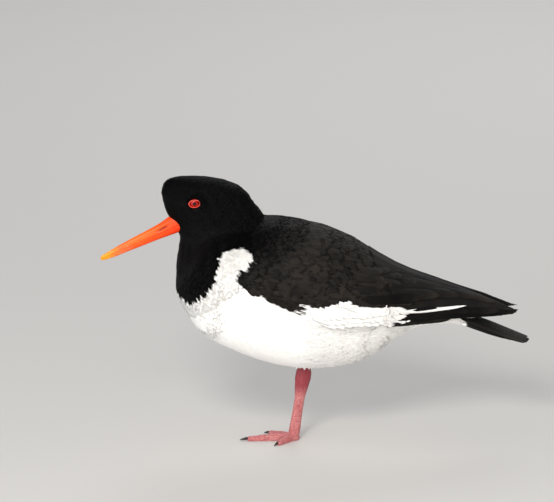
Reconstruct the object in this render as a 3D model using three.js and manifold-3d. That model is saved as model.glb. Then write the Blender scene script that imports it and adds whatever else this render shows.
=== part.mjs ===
// A Eurasian oystercatcher at life size, resting on its left leg with the neck drawn in.
// Millimetres, +Z up. The bird faces -X and its left side is -Y.
// The origin is on the floor, in the middle of the standing foot's sole.
import * as THREE from "three";
import { ParametricGeometry } from "three/addons/geometries/ParametricGeometry.js";
import { mergeVertices } from "three/addons/utils/BufferGeometryUtils.js";
import Module from "manifold-3d";

const wasm = await Module();
wasm.setup();

// Driving dimensions
const GAP = 0.3; // clearance kept between two pieces that meet
const CROWN_Z = 249.3;
const BREAST_X = -106;
const VENT_X = 166;
const BELLY_Z = 67;
const BODY_HALF_WIDTH = 52.5;
const HEAD_HALF_WIDTH = 18.5;
const WING_TIP_X = 205;
const TAIL_TIP_X = 215;
const BILL_LENGTH = 73.5;
const BILL_SLOPE = THREE.MathUtils.degToRad(23.95);
const ANKLE = new THREE.Vector3(9.8, 0, 60);
const COVERT_DEPTH = 4; // how deep the closed wing is let into the body
const EYE_RADIUS = 5;
const FAR = 400; // beyond every piece, for cutting blocks

// Colours of the living bird
const MATERIALS = {
  black_plumage: { color: 0x17171a, roughness: 0.6 },
  white_plumage: { color: 0xf2f1ec, roughness: 0.8 },
  bill_horn: { color: 0xf4511a, roughness: 0.4 },
  leg_skin: { color: 0xd9605a, roughness: 0.55 },
  claw_horn: { color: 0x1c1a19, roughness: 0.4 },
  eye_red: { color: 0xa01208, roughness: 0.05 },
  ring_skin: { color: 0xf23a1c, roughness: 0.5 },
};

// A smooth curve through [where, value] stations, held level past both ends.
function profile(...stations) {
  const where = stations.map((s) => s[0]);
  const curve = new THREE.CubicInterpolant(
    where,
    stations.map((s) => s[1]),
    1,
  );
  return (t) =>
    curve.evaluate(THREE.MathUtils.clamp(t, where[0], where.at(-1)))[0];
}

// Rounds off a form that ends at `end` and is full from `reach` inside it.
function roundEnd(t, end, reach) {
  const into = THREE.MathUtils.clamp(Math.abs(t - end) / reach, 0, 1);
  return Math.sqrt(1 - (1 - into) ** 2);
}

// cos or sin raised to a power that makes a section squarer than an ellipse.
const squared = (value, power) =>
  Math.sign(value) * Math.abs(value) ** (2 / power);

// A closed geometry from point(along, angle), where along runs 0 to 1 between two poles.
function closedForm(point, around, along) {
  return new ParametricGeometry(
    (u, v, target) => {
      const turn = u === 1 ? 0 : u; // the seam's last column is its first
      const p = point(v, turn * 2 * Math.PI);
      target.set(p[0], p[1], p[2]);
    },
    around,
    along,
  );
}

function toSolid(geometry) {
  const plain = geometry.clone();
  plain.deleteAttribute("normal");
  plain.deleteAttribute("uv");
  const merged = mergeVertices(plain, 1e-3);
  const mesh = new wasm.Mesh({
    numProp: 3,
    vertProperties: merged.attributes.position.array,
    triVerts: new Uint32Array(merged.index.array),
  });
  const solid = new wasm.Manifold(mesh);
  if (solid.volume() > 0) return solid;
  mesh.triVerts = mesh.triVerts.map((_, i, all) => all[i - (i % 3) + 2 - (i % 3)]);
  return new wasm.Manifold(mesh);
}

const form = (point, around, along) => toSolid(closedForm(point, around, along));

function toGeometry(solid) {
  const mesh = solid.getMesh();
  const geometry = new THREE.BufferGeometry();
  geometry.setAttribute(
    "position",
    new THREE.BufferAttribute(mesh.vertProperties.slice(), 3),
  );
  geometry.setIndex(new THREE.BufferAttribute(mesh.triVerts.slice(), 1));
  const flat = geometry.toNonIndexed();
  flat.computeVertexNormals();
  return flat;
}

// The block between two corners.
function block(low, high) {
  const size = new THREE.Vector3(...high).sub(new THREE.Vector3(...low));
  const box = new THREE.BoxGeometry(size.x, size.y, size.z);
  box.translate(
    (low[0] + high[0]) / 2,
    (low[1] + high[1]) / 2,
    (low[2] + high[2]) / 2,
  );
  return toSolid(box);
}

// The space whose side view is this outline of [x, z] points, from y0 to y1.
function sideCut(outline, y0, y1) {
  const shape = new THREE.Shape(outline.map(([x, z]) => new THREE.Vector2(x, z)));
  const cut = new THREE.ExtrudeGeometry(shape, {
    depth: y1 - y0,
    bevelEnabled: false,
  });
  cut.rotateX(Math.PI / 2);
  cut.translate(0, y1, 0);
  return toSolid(cut);
}

// Trunk: breast, back and belly, with the wings left off
const backLine = profile(
  [-106, 184], [-70, 204], [-30, 211], [10, 206], [50, 189], [90, 160], [120, 141], [166, 117],
);
const bellyLine = profile(
  [-106, 116], [-90, 105], [-60, 89], [-30, 76], [0, 68.5], [20, BELLY_Z], [45, 69],
  [70, 76], [90, 91], [105, 101], [130, 105.5], [166, 102.5],
);
const trunkHalfWidth = profile(
  [-106, 36], [-85, 45], [-55, 51], [-20, BODY_HALF_WIDTH], [20, 52], [55, 45],
  [85, 33], [115, 21.5], [140, 14.5], [166, 10.5],
);
const waistLine = profile([-106, 150], [-40, 148], [20, 138], [80, 126], [120, 120], [166, 110]);

function trunkPoint(grow) {
  const first = BREAST_X - grow;
  const last = VENT_X + grow;
  return (along, angle) => {
    const x = first + ((last - first) * (1 - Math.cos(along * Math.PI))) / 2;
    const cap = roundEnd(x, first, 34) * roundEnd(x, last, 9);
    const waist = waistLine(x);
    const side = squared(Math.cos(angle), 2.15);
    const rise = squared(Math.sin(angle), 2.1);
    const reach =
      rise > 0 ? backLine(x) - waist + grow : waist - bellyLine(x) + grow;
    return [x, (trunkHalfWidth(x) + grow) * cap * side, waist + reach * cap * rise];
  };
}

// Head and neck: level sections, from inside the breast up to the crown
const faceLine = profile(
  [100, -86], [119, -94], [135, -101.5], [157, -105.5], [181, -103.4], [189.5, -100.6],
  [196, -102.5], [203, -105.5], [212, -112], [217, -114.6], [225, -117], [232, -118.1],
  [240, -120.3], [249.3, -129],
);
const napeLine = profile(
  [100, -50], [150, -8], [190, -14], [205, -21], [216, -29], [226, -36], [235, -41], [249.3, -46],
);
const neckHalfWidth = profile(
  [100, 34], [135, 43], [160, 39], [180, 31], [192, 25.5], [205, 20.5],
  [220, HEAD_HALF_WIDTH], [249.3, 18],
);
const napeFullness = profile([100, 0], [170, 0.08], [190, 0.3], [210, 0.34], [230, 0.16], [249.3, 0]);

function neckPoint(grow) {
  const low = 100 - grow;
  const high = CROWN_Z + grow;
  return (along, angle) => {
    const z = low + ((high - low) * (1 - Math.cos(along * Math.PI))) / 2;
    const cap = roundEnd(z, high, 17) * roundEnd(z, low, 12);
    const front = faceLine(z) - grow;
    const back = napeLine(z) + grow;
    const middle = (front + back) / 2 - 7 * (1 - roundEnd(z, high, 23));
    const s = squared(-Math.cos(angle), 2.15);
    const spread = squared(Math.sin(angle), 2.15);
    const half = (neckHalfWidth(z) + grow) * (1 + napeFullness(z) * s);
    return [middle + ((back - front) / 2) * cap * s, half * cap * spread, z];
  };
}

const trunkForm = (grow) => form(trunkPoint(grow), 26, 23);
const neckForm = (grow) => form(neckPoint(grow), 22, 19);
const coreForm = (depth) => form(trunkPoint(-depth), 14, 11); // hidden, so it needs few faces
const fleshForm = (grow) => trunkForm(grow).add(neckForm(grow));

// Bill: a straight blade in its own frame, t along it from the face and n up across it
const BILL_BASE = new THREE.Vector3(-106, 0, 204.2);
const billTop = profile([-9, 9.4], [0, 9.1], [10, 7], [25, 5.6], [43, 4.4], [60, 2.9], [73.5, 1.2]);
const billFloor = profile([-9, -8.3], [1, -7.9], [18, -6.6], [32, -5.9], [47, -5.1], [63, -4.3], [73.5, -2.9]);
const billHalfWidth = profile([-9, 7.4], [0, 6.4], [8, 5.1], [22, 3.9], [42, 2.9], [60, 2], [73.5, 1.25]);
const GAPE_LINE = -1; // n of the line between the mandibles
const BILL_ROOT = -8;

function billPoint(along, angle) {
  const t = BILL_ROOT + (BILL_LENGTH - BILL_ROOT) * along;
  const cap = roundEnd(t, BILL_LENGTH, 4) * roundEnd(t, BILL_ROOT, 1.5);
  const side = squared(Math.cos(angle), 2.3);
  const rise = squared(Math.sin(angle), 1.9);
  const n = GAPE_LINE + cap * rise * (rise > 0 ? billTop(t) - GAPE_LINE : GAPE_LINE - billFloor(t));
  return [t, billHalfWidth(t) * cap * side, n];
}

// From the bill's frame to the bird's.
function placeBill(solid) {
  const turn = new THREE.Matrix4().makeBasis(
    new THREE.Vector3(-Math.cos(BILL_SLOPE), 0, -Math.sin(BILL_SLOPE)),
    new THREE.Vector3(0, 1, 0),
    new THREE.Vector3(-Math.sin(BILL_SLOPE), 0, Math.cos(BILL_SLOPE)),
  );
  turn.setPosition(BILL_BASE);
  const turned = toGeometry(solid).applyMatrix4(turn);
  return toSolid(turned);
}

// Folded wings: let into the body's side in front, and thin blades from the rump to the tip
const wingTop = profile(
  [-70, 192], [-40, 202], [-10, 206], [10, 206], [50, 192], [88, 168], [106, 159],
  [125, 151.5], [161, 138], [180, 131.5], [205, 121],
);
const wingHalfWidth = profile(
  [-70, 50], [-40, 55], [0, 57], [30, 56.5], [60, 51.5], [90, 41], [115, 31.5], [140, 24],
  [165, 19.5], [205, 14.5],
);
const bladeThickness = profile([60, 5.5], [100, 4.2], [150, 2.4], [205, 1.4]);
const wingWaist = profile([-70, 150], [0, 142], [60, 132], [110, 124], [160, 118], [205, 114]);
const BLADE_X = 60; // where the wings part from the body and meet over the back
const TIP_NOTCH_X = 150;
const TIP_NOTCH_SLOPE = 9 / 55; // half the gap between the tips over its length

// The closed form whose skin is the wings' outer face, sunk in by a share of their thickness.
function wingForm(share) {
  const first = -72 - share;
  const last = WING_TIP_X + 12;
  return form(
    (along, angle) => {
      const x = first + (last - first) * along;
      const sink = share * bladeThickness(x);
      const cap = roundEnd(x, first, 20) * roundEnd(x, last, 3);
      const waist = wingWaist(x);
      const side = squared(Math.cos(angle), 2.1);
      const rise = squared(Math.sin(angle), x > 90 ? 1.75 : 1.95);
      const reach = rise > 0 ? wingTop(x) - waist - sink : 62 - sink;
      return [x, (wingHalfWidth(x) - sink) * cap * side, waist + reach * cap * rise];
    },
    24,
    19,
  );
}

// Side view of the folded wing, from its bend along the lower edge to the tip and back over the top.
function wingOutline(grow) {
  const lower = [
    [-56 - grow, 172], [-52, 156], [-38, 146], [-20, 136], [0, 128], [30, 118], [60, 115.5],
    [94, 114.5], [125, 114], [142, 116], [160, 116], [177, 115.7], [198, 116.5],
  ];
  const upper = [
    [205, 118.5], [201, 121.6], [190, 126.5], [160, 150], [100, 190], [40, 222], [-24 - grow, 218],
    [-36 - grow, 200], [-49 - grow, 186],
  ];
  return [...lower.map(([x, z]) => [x, z - grow]), ...upper.map(([x, z]) => [x, z + grow])];
}
const wingSpace = (grow) => sideCut(wingOutline(grow), -FAR, FAR);

// Rear edge of the coverts, and the lower edge of the tertials with the primaries beneath.
const COVERT_EDGE = [[74, 60], [80, 112], [86, 130], [84, 148], [72, 170], [56, 230]];
const TERTIAL_EDGE = [
  [60, 122], [92, 122.5], [125, 127.5], [160, 131.5], [176, 130], [190, 126.5], [214, 119],
];

// The V between the two wing tips, seen from above.
function tipNotch() {
  const reach = TIP_NOTCH_SLOPE * (FAR - TIP_NOTCH_X);
  const shape = new THREE.Shape([
    new THREE.Vector2(TIP_NOTCH_X, 0),
    new THREE.Vector2(FAR, -reach),
    new THREE.Vector2(FAR, reach),
  ]);
  return toSolid(new THREE.ExtrudeGeometry(shape, { depth: FAR, bevelEnabled: false }));
}

const frontBlock = (x) => block([-FAR, -FAR, -FAR], [x, FAR, FAR]);

function wingPair() {
  const outer = wingForm(0);
  const front = trunkForm(0).add(outer).subtract(coreForm(COVERT_DEPTH)).intersect(frontBlock(BLADE_X));
  const blades = outer.subtract(wingForm(1)).subtract(trunkForm(GAP)).subtract(frontBlock(BLADE_X));
  return front.add(blades).intersect(wingSpace(0)).subtract(tipNotch());
}

// The bed that the wings are let into, cut out of the body with their clearance.
const wingBed = () =>
  wingSpace(GAP)
    .subtract(coreForm(COVERT_DEPTH + GAP))
    .intersect(frontBlock(BLADE_X + GAP));

// Tail: the closed fan of the tail feathers, arched like a roof
const TAIL_ROOT = new THREE.Vector3(140, 0, 115.3);
const TAIL_SLOPE = THREE.MathUtils.degToRad(18.5);
const TAIL_LENGTH = (TAIL_TIP_X - TAIL_ROOT.x) / Math.cos(TAIL_SLOPE);
const tailHalfWidth = profile([0, 9], [20, 14], [32, 18], [45, 19.5], [60, 18.2], [72, 16.4], [80, 15]);
const tailTop = profile([0, 5], [20, 5.4], [40, 4.8], [60, 3], [80, 1.2]);
const tailBottom = profile([0, 4], [20, 4.8], [32, 3.2], [45, 2.3], [80, 1.2]);
const TAIL_ARCH = 3.6; // drop of the outermost feathers
const TAIL_ARCH_WIDTH = 20;

function tailPoint(along, angle) {
  const s = TAIL_LENGTH * along;
  const cap = roundEnd(s, TAIL_LENGTH, 7) * roundEnd(s, 0, 3);
  const side = squared(Math.cos(angle), 3);
  const y = tailHalfWidth(s) * cap * side;
  const rise = Math.sin(angle) * Math.min(1, cap * 1.4);
  const n = rise * (rise > 0 ? tailTop(s) : tailBottom(s)) - TAIL_ARCH * (y / TAIL_ARCH_WIDTH) ** 2;
  return [
    TAIL_ROOT.x + s * Math.cos(TAIL_SLOPE) + n * Math.sin(TAIL_SLOPE),
    y,
    TAIL_ROOT.z - s * Math.sin(TAIL_SLOPE) + n * Math.cos(TAIL_SLOPE),
  ];
}

// Eyes: each ball sits deep in the head, with a ring of bare skin round it
const EYE = new THREE.Vector3(-89.6, 12.6, 227.4);
const RING_HALF_LENGTH = 5.1;
const RING_HALF_HEIGHT = 3.6;
const RING_TUBE = 0.8;
const RING_Y = 16.9;

function eyeBall(side, grow) {
  const ball = new THREE.SphereGeometry(EYE_RADIUS + grow, 11, 7);
  return toSolid(ball).translate([EYE.x, side * EYE.y, EYE.z]);
}

function eyeRing(side, grow) {
  const ring = new THREE.TorusGeometry(1, 0.01, 5, 16);
  const position = ring.attributes.position;
  for (let i = 0; i < position.count; i += 1) {
    const turn = Math.atan2(position.getY(i), position.getX(i));
    const out = (Math.hypot(position.getX(i), position.getY(i)) - 1) / 0.01;
    const up = position.getZ(i) / 0.01;
    const tube = RING_TUBE + grow;
    position.setXYZ(
      i,
      (RING_HALF_LENGTH + tube * out) * Math.cos(turn),
      tube * up * 1.3,
      (RING_HALF_HEIGHT + tube * out) * Math.sin(turn),
    );
  }
  return toSolid(ring).translate([EYE.x, side * RING_Y, EYE.z]);
}

// A limb's form along the line from a to b, whose half sizes run fore-aft and across.
function limb(a, b, depthAt, widthAt, grow, around, along) {
  const axis = b.clone().sub(a);
  const length = axis.length();
  const out = axis.clone().normalize();
  const across = new THREE.Vector3(0, 1, 0);
  const fore = new THREE.Vector3().crossVectors(across, out).normalize();
  return form(
    (step, angle) => {
      const s = -grow + (length + 2 * grow) * ((1 - Math.cos(step * Math.PI)) / 2);
      const t = s / length;
      const cap = roundEnd(s, -grow, 3) * roundEnd(s, length + grow, 3);
      const p = a
        .clone()
        .addScaledVector(out, s)
        .addScaledVector(fore, (depthAt(t) + grow) * cap * Math.cos(angle))
        .addScaledVector(across, (widthAt(t) + grow) * cap * Math.sin(angle));
      return [p.x, p.y, p.z];
    },
    around,
    along,
  );
}

// Shank: the ankle joint, the tarsus and the joint that carries the toes
const shankDepth = profile([0, 6.4], [0.14, 7.2], [0.24, 6.6], [0.4, 4.7], [0.7, 4.6], [0.88, 5.1], [1, 5]);
const shankWidth = profile([0, 4.6], [0.14, 5.2], [0.24, 4.8], [0.4, 3.4], [0.7, 3.2], [0.88, 4.4], [1, 4.8]);
const FOOT_JOINT = new THREE.Vector3(1.2, 0, 1.5);
const SHANK_TOP = ANKLE.clone().add(new THREE.Vector3(1.8, 0, 9));

const aboveFloor = (solid) => solid.intersect(block([-FAR, -FAR, 0], [FAR, FAR, FAR]));

function leftShank(grow) {
  const leg = limb(SHANK_TOP, FOOT_JOINT, shankDepth, shankWidth, grow, 12, 11);
  const pad = new THREE.SphereGeometry(1, 12, 6);
  pad.scale(6 + grow, 5.4 + grow, 4.6 + grow);
  pad.translate(FOOT_JOINT.x, 0, 2.2);
  return leg.add(toSolid(pad));
}

// A point that far from the foot's joint, along a heading and beside it.
function fromJoint(heading, s, y, z) {
  const cos = Math.cos(heading);
  const sin = Math.sin(heading);
  return [FOOT_JOINT.x - cos * s + sin * y, sin * s + cos * y, z];
}

// A toe lies on the floor along its own heading, with a swelling at each joint.
function toe(heading, length, joints, grow) {
  return form(
    (step, angle) => {
      const s = length * ((1 - Math.cos(step * Math.PI)) / 2);
      const t = s / length;
      const cap = roundEnd(s, length, 3) * roundEnd(s, 0, 2);
      const swell = 0.35 * Math.cos(t * joints * 2 * Math.PI);
      const half = THREE.MathUtils.lerp(3.9, 2.5, t) + swell + grow;
      const height = THREE.MathUtils.lerp(6.6, 4.3, t) + swell;
      const y = squared(Math.cos(angle), 2.4) * half * cap;
      const z = 0.28 * height + squared(Math.sin(angle), 2.2) * (0.72 * height + grow) * cap;
      return fromJoint(heading, s, y, z);
    },
    10,
    10,
  );
}

// A curved horn claw at the end of a toe, with its point just clear of the floor.
function claw(heading, from, length) {
  return form(
    (t, angle) => {
      const s = from + length * t;
      const r = 1.75 * (1 - t) ** 0.7 * roundEnd(t, 0, 0.12);
      const y = Math.cos(angle) * r * 0.8;
      const z = 2.5 - 1.7 * t ** 1.6 + Math.sin(angle) * r;
      return fromJoint(heading, s, y, z);
    },
    7,
    5,
  );
}

const TOES = [
  { name: "middle", heading: -0.01, length: 42, joints: 3, clawLength: 9 },
  { name: "outer", heading: -0.84, length: 24, joints: 4, clawLength: 7 },
  { name: "inner", heading: 0.7, length: 27, joints: 2, clawLength: 7.5 },
];

// The right leg is drawn up: its shank lies forward along the belly, half sunk in the feathers
const TUCKED_ANKLE = new THREE.Vector3(33, 21, 74.5);
const TUCKED_FOOT = new THREE.Vector3(-19, 17, 78.5);
const tuckedShank = (grow) =>
  limb(TUCKED_ANKLE, TUCKED_FOOT, shankDepth, shankWidth, grow, 10, 9);
const TUCKED_TOES = [
  { name: "middle", side: 16.5, drop: 88.5, length: 29 },
  { name: "outer", side: 22.5, drop: 88, length: 24 },
  { name: "inner", side: 10.5, drop: 85.5, length: 21 },
];
const tuckedToeHalf = profile([0, 3.2], [0.5, 2.9], [1, 2.1]);

function tuckedToe({ side, drop, length }, grow) {
  const start = new THREE.Vector3(-22.5, side, 80.5);
  const end = new THREE.Vector3(-22.5 - length, side, drop);
  return limb(start, end, tuckedToeHalf, tuckedToeHalf, grow, 8, 6);
}

// Put together
const SIDES = [["left", -1], ["right", 1]];
const shifted = (line, dx, dz = 0) => line.map(([x, z]) => [x + dx, z + dz]);
const inFront = (line) => [...line, [-FAR, line.at(-1)[1]], [-FAR, line[0][1]]];
const beyond = (line) => [...line, [FAR, line.at(-1)[1]], [FAR, line[0][1]]].reverse();
const above = (line) => [...line, [line.at(-1)[0], FAR], [line[0][0], FAR]];
const below = (line) => [...line, [line.at(-1)[0], 0], [line[0][0], 0]].reverse();
const bird = new THREE.Group();
const finishes = Object.fromEntries(
  Object.entries(MATERIALS).map(([name, look]) => [
    name,
    new THREE.MeshStandardMaterial({ ...look, metalness: 0 }),
  ]),
);

function addPiece(name, solid, finish) {
  const mesh = new THREE.Mesh(toGeometry(solid), finishes[finish]);
  mesh.name = name;
  bird.add(mesh);
}

const keepBiggest = (solid) =>
  solid.decompose().sort((a, b) => b.volume() - a.volume())[0];

const grownFlesh = fleshForm(GAP);
const bill = placeBill(form(billPoint, 12, 14)).subtract(grownFlesh);
const gapeCut = placeBill(block([BILL_ROOT - 9, -20, GAPE_LINE - GAP / 2], [FAR, 20, GAPE_LINE + GAP / 2]));
const [billA, billB] = bill.subtract(gapeCut).decompose().sort((a, b) => b.volume() - a.volume());
const upperFirst = billA.boundingBox().max[2] > billB.boundingBox().max[2];
addPiece("bill_upper", upperFirst ? billA : billB, "bill_horn");
addPiece("bill_lower", upperFirst ? billB : billA, "bill_horn");

const tail = keepBiggest(form(tailPoint, 12, 8).subtract(grownFlesh));
addPiece("tail", tail, "black_plumage");

const wings = wingPair();
const coverts = sideCut(inFront(COVERT_EDGE), -FAR, FAR);
const behindCoverts = sideCut(beyond(shifted(COVERT_EDGE, GAP)), -FAR, FAR);
const aboveEdge = sideCut(above(TERTIAL_EDGE), -FAR, FAR);
const belowEdge = sideCut(below(shifted(TERTIAL_EDGE, 0, -GAP)), -FAR, FAR);
for (const [side, sign] of SIDES) {
  const near = sign * (GAP / 2);
  const half = sign < 0 ? block([-FAR, -FAR, -FAR], [FAR, near, FAR]) : block([-FAR, near, -FAR], [FAR, FAR, FAR]);
  const wing = wings.intersect(half);
  const rear = wing.intersect(behindCoverts);
  addPiece(`wing_${side}_coverts`, keepBiggest(wing.intersect(coverts)), "black_plumage");
  addPiece(`wing_${side}_tertials`, keepBiggest(rear.intersect(aboveEdge)), "black_plumage");
  addPiece(`wing_${side}_primaries`, keepBiggest(rear.intersect(belowEdge)), "black_plumage");
}

let flesh = fleshForm(0).subtract(wingBed());
for (const [side, sign] of SIDES) {
  const ball = eyeBall(sign, 0);
  flesh = flesh.subtract(eyeBall(sign, GAP)).subtract(eyeRing(sign, GAP));
  addPiece(`eye_${side}`, ball, "eye_red");
  addPiece(`eye_ring_${side}`, eyeRing(sign, 0).subtract(eyeBall(sign, GAP)), "ring_skin");
}
flesh = flesh.subtract(leftShank(GAP)).subtract(tuckedShank(GAP));

addPiece("leg_left_shank", aboveFloor(leftShank(0)), "leg_skin");
const toeRoots = leftShank(GAP);
let takenByToes = toeRoots;
for (const { name, heading, length, joints, clawLength } of TOES) {
  const blank = aboveFloor(toe(heading, length, joints, 0));
  const piece = keepBiggest(blank.subtract(takenByToes));
  addPiece(`toe_left_${name}`, piece, "leg_skin");
  takenByToes = takenByToes.add(toe(heading, length, joints, GAP));
  const horn = claw(heading, length - 1.5, clawLength);
  addPiece(`claw_left_${name}`, keepBiggest(horn.subtract(toe(heading, length, joints, GAP))), "claw_horn");
}

addPiece("leg_right_shank", tuckedShank(0), "leg_skin");
let takenByTucked = tuckedShank(GAP);
for (const spec of TUCKED_TOES) {
  addPiece(`toe_right_${spec.name}`, keepBiggest(tuckedToe(spec, 0).subtract(takenByTucked)), "leg_skin");
  takenByTucked = takenByTucked.add(tuckedToe(spec, GAP));
}
flesh = flesh.subtract(takenByTucked);

// The flesh is parted at the throat and at the root of the neck
const HEAD_CUT = [[-200, 166], [-92, 192.5], [-66, 207], [-20, 262], [-200, 300]];
const NECK_CUT = [[-200, 128], [-92, 150], [-60, 166], [-12, 215], [-8, 300], [-200, 300]];
const headSpace = sideCut(HEAD_CUT, -FAR, FAR);
const neckSpace = sideCut(NECK_CUT, -FAR, FAR);
addPiece("head", keepBiggest(flesh.intersect(headSpace)), "black_plumage");
addPiece(
  "neck",
  keepBiggest(flesh.intersect(neckSpace).subtract(headSpace.translate([0, 0, -GAP]).add(headSpace))),
  "black_plumage",
);
addPiece(
  "trunk",
  keepBiggest(flesh.subtract(neckSpace.translate([0, 0, -GAP]).add(neckSpace))),
  "white_plumage",
);

export default bird;
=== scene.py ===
# %% [markdown]
# # A Eurasian oystercatcher, life size, resting on one leg
#
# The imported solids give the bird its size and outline, but they are bare, faceted forms. Its look
# comes from what lies on them: thousands of overlapping feathers, a horn bill that light sinks
# into, wet red eyes and scaly pink legs. Each is made here in its own step. Lengths are in
# millimetres and turn to metres only where a mesh is made. The bird faces -X, and its left side
# is -Y.

# %% Load the frame
import math
from collections import defaultdict

import bmesh
import bpy
import numpy as np
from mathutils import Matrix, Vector


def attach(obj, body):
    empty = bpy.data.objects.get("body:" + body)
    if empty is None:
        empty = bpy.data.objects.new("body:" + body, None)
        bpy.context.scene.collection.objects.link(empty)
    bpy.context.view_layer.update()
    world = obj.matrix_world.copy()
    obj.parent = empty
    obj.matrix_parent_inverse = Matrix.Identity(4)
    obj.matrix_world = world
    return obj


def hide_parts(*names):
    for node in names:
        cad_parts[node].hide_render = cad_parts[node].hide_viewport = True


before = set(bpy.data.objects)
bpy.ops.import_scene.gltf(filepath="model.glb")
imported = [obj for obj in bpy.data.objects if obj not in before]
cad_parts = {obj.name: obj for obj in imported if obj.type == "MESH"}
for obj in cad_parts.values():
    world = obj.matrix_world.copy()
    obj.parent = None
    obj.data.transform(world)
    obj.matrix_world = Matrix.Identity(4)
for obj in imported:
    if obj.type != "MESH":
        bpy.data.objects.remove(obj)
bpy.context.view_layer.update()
MM = 0.001
SIDES = (("left", -1), ("right", 1))

# %% [markdown]
# ## Small helpers
#
# A profile is a smooth curve through a few stations, and it describes nearly every form of a bird,
# such as how wide the bill is along its length. The others make meshes from points, turn a paint
# colour into the linear light that shaders want, and add a node with its settings and links, so
# that a whole material reads as a short list.

# %% Curves and meshes
def jogger(seed):
    """A source of small steps either way, the same in each run."""
    random = np.random.default_rng(seed)
    return lambda size: size * (random.random() - 0.5)


def profile(*stations):
    """A smooth curve through (where, value) stations, level past both ends."""
    where, value = np.array(stations, float).T
    slope = np.gradient(value, where)

    def at(t):
        t = np.clip(t, where[0], where[-1])
        i = np.clip(np.searchsorted(where, t) - 1, 0, len(where) - 2)
        step = where[i + 1] - where[i]
        u = (t - where[i]) / step
        rise = value[i] * (1 + 2 * u) * (1 - u) ** 2 + value[i + 1] * u * u * (3 - 2 * u)
        bend = slope[i] * u * (1 - u) ** 2 + slope[i + 1] * u * u * (u - 1)
        return rise + bend * step

    return at


def smoothstep(low, high, t):
    """0 below low, 1 above high, and an even turn between them."""
    u = np.clip((t - low) / (high - low), 0, 1)
    return u * u * (3 - 2 * u)


def new_piece(name, mesh):
    piece = bpy.data.objects.new(name, mesh)
    bpy.context.scene.collection.objects.link(piece)
    return piece


def as_plain_mesh(piece, name):
    """What a piece's modifiers make of it, as a piece of its own in its place."""
    graph = bpy.context.evaluated_depsgraph_get()
    mesh = bpy.data.meshes.new_from_object(piece.evaluated_get(graph))
    mesh.name = name
    bpy.data.objects.remove(piece)
    return new_piece(name, mesh)


def piece_from(name, points_mm, faces, smooth=True):
    """A mesh piece from points in millimetres."""
    mesh = bpy.data.meshes.new(name)
    mesh.from_pydata((np.asarray(points_mm) * MM).tolist(), [], faces)
    mesh.polygons.foreach_set("use_smooth", [smooth] * len(mesh.polygons))
    mesh.update()
    return new_piece(name, mesh)


def closed(piece):
    """Turns a closed piece's faces outwards."""
    bm = bmesh.new()
    bm.from_mesh(piece.data)
    bmesh.ops.recalc_face_normals(bm, faces=bm.faces)
    bm.to_mesh(piece.data)
    bm.free()
    return piece


def loft_faces(rings, around):
    """Quads between rings that each hold the same number of points, with a cap at either end."""
    faces = []
    for ring in range(rings - 1):
        for k in range(around):
            a = ring * around + k
            b = ring * around + (k + 1) % around
            faces.append((a, b, b + around, a + around))
    last = (rings - 1) * around
    return faces + [tuple(range(around)), tuple(range(last, last + around))]


def settle(piece, material, *nodes, slot=None):
    """Gives a piece its finish, its body and the solids it stands for, and hides those solids. The
    slot is not used.
    """
    piece.data.materials.clear()
    piece.data.materials.append(material)
    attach(piece, "root")
    if nodes:
        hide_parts(*nodes)
    triangles = sum(len(p.vertices) - 2 for p in piece.data.polygons)
    print(piece.name, triangles, "triangles")


# %% Colours and nodes
def colour(sheet, strength=1.0):
    """An sRGB hex colour as linear red, green, blue and 1."""
    parts = [int(sheet[i : i + 2], 16) / 255 for i in (1, 3, 5)]
    linear = [p / 12.92 if p <= 0.04045 else ((p + 0.055) / 1.055) ** 2.4 for p in parts]
    return (*[strength * p for p in linear], 1.0)


def add(tree, kind, inputs=None, **settings):
    """One node with its settings, its constants and the links into it."""
    node = tree.nodes.new(kind)
    for name, value in settings.items():
        setattr(node, name, value)
    for key, value in (inputs or {}).items():
        socket = node.inputs[key]
        if isinstance(value, bpy.types.NodeSocket):
            tree.links.new(value, socket)
        else:
            socket.default_value = value
    return node


def new_material(name):
    """An empty material and its tree."""
    material = bpy.data.materials.new(name)
    material.use_nodes = True
    material.node_tree.nodes.clear()
    return material, material.node_tree


def finish_material(tree, **looks):
    """Ends a material in one shader. A setting's name is the socket's, with _ for a space."""
    inputs = {name.replace("_", " "): value for name, value in looks.items()}
    shader = add(tree, "ShaderNodeBsdfPrincipled", inputs)
    add(tree, "ShaderNodeOutputMaterial", {"Surface": shader.outputs[0]})


def ramp(tree, factor, *stops):
    """A colour ramp from (place, hex colour) stops."""
    node = add(tree, "ShaderNodeValToRGB", {"Fac": factor})
    points = node.color_ramp.elements
    while len(points) < len(stops):
        points.new(0.5)
    for point, (place, sheet) in zip(points, stops):
        point.position = place
        point.color = colour(sheet)
    return node.outputs["Color"]


def mixed(tree, share, under, over):
    """One colour laid over another, by a share from 0 to 1."""
    inputs = {0: share, 6: under, 7: over}
    return add(tree, "ShaderNodeMix", inputs, data_type="RGBA").outputs[2]


def maths(tree, operation, *values):
    """One step of arithmetic with numbers or sockets."""
    return add(tree, "ShaderNodeMath", dict(enumerate(values)), operation=operation).outputs[0]


def vectors(tree, operation, *values):
    """One step of arithmetic with vectors, or with a vector and a number to scale it by."""
    keys = (0, "Scale") if operation == "SCALE" else (0, 1)
    inputs = dict(zip(keys, values))
    return add(tree, "ShaderNodeVectorMath", inputs, operation=operation).outputs[0]


def spread(tree, value, low, high, to_low=0.0, to_high=1.0):
    """Moves a number from one range to another, and holds it at the ends."""
    inputs = {"Value": value, "From Min": low, "From Max": high, "To Min": to_low, "To Max": to_high}
    return add(tree, "ShaderNodeMapRange", inputs).outputs[0]


def mark(tree, name, output="Fac"):
    """A number that each point of the mesh carries, or with "Vector" a place."""
    return add(tree, "ShaderNodeAttribute", attribute_name=name).outputs[output]


def here(tree):
    """Where a point lies on the object."""
    return add(tree, "ShaderNodeTexCoord").outputs["Object"]


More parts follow.
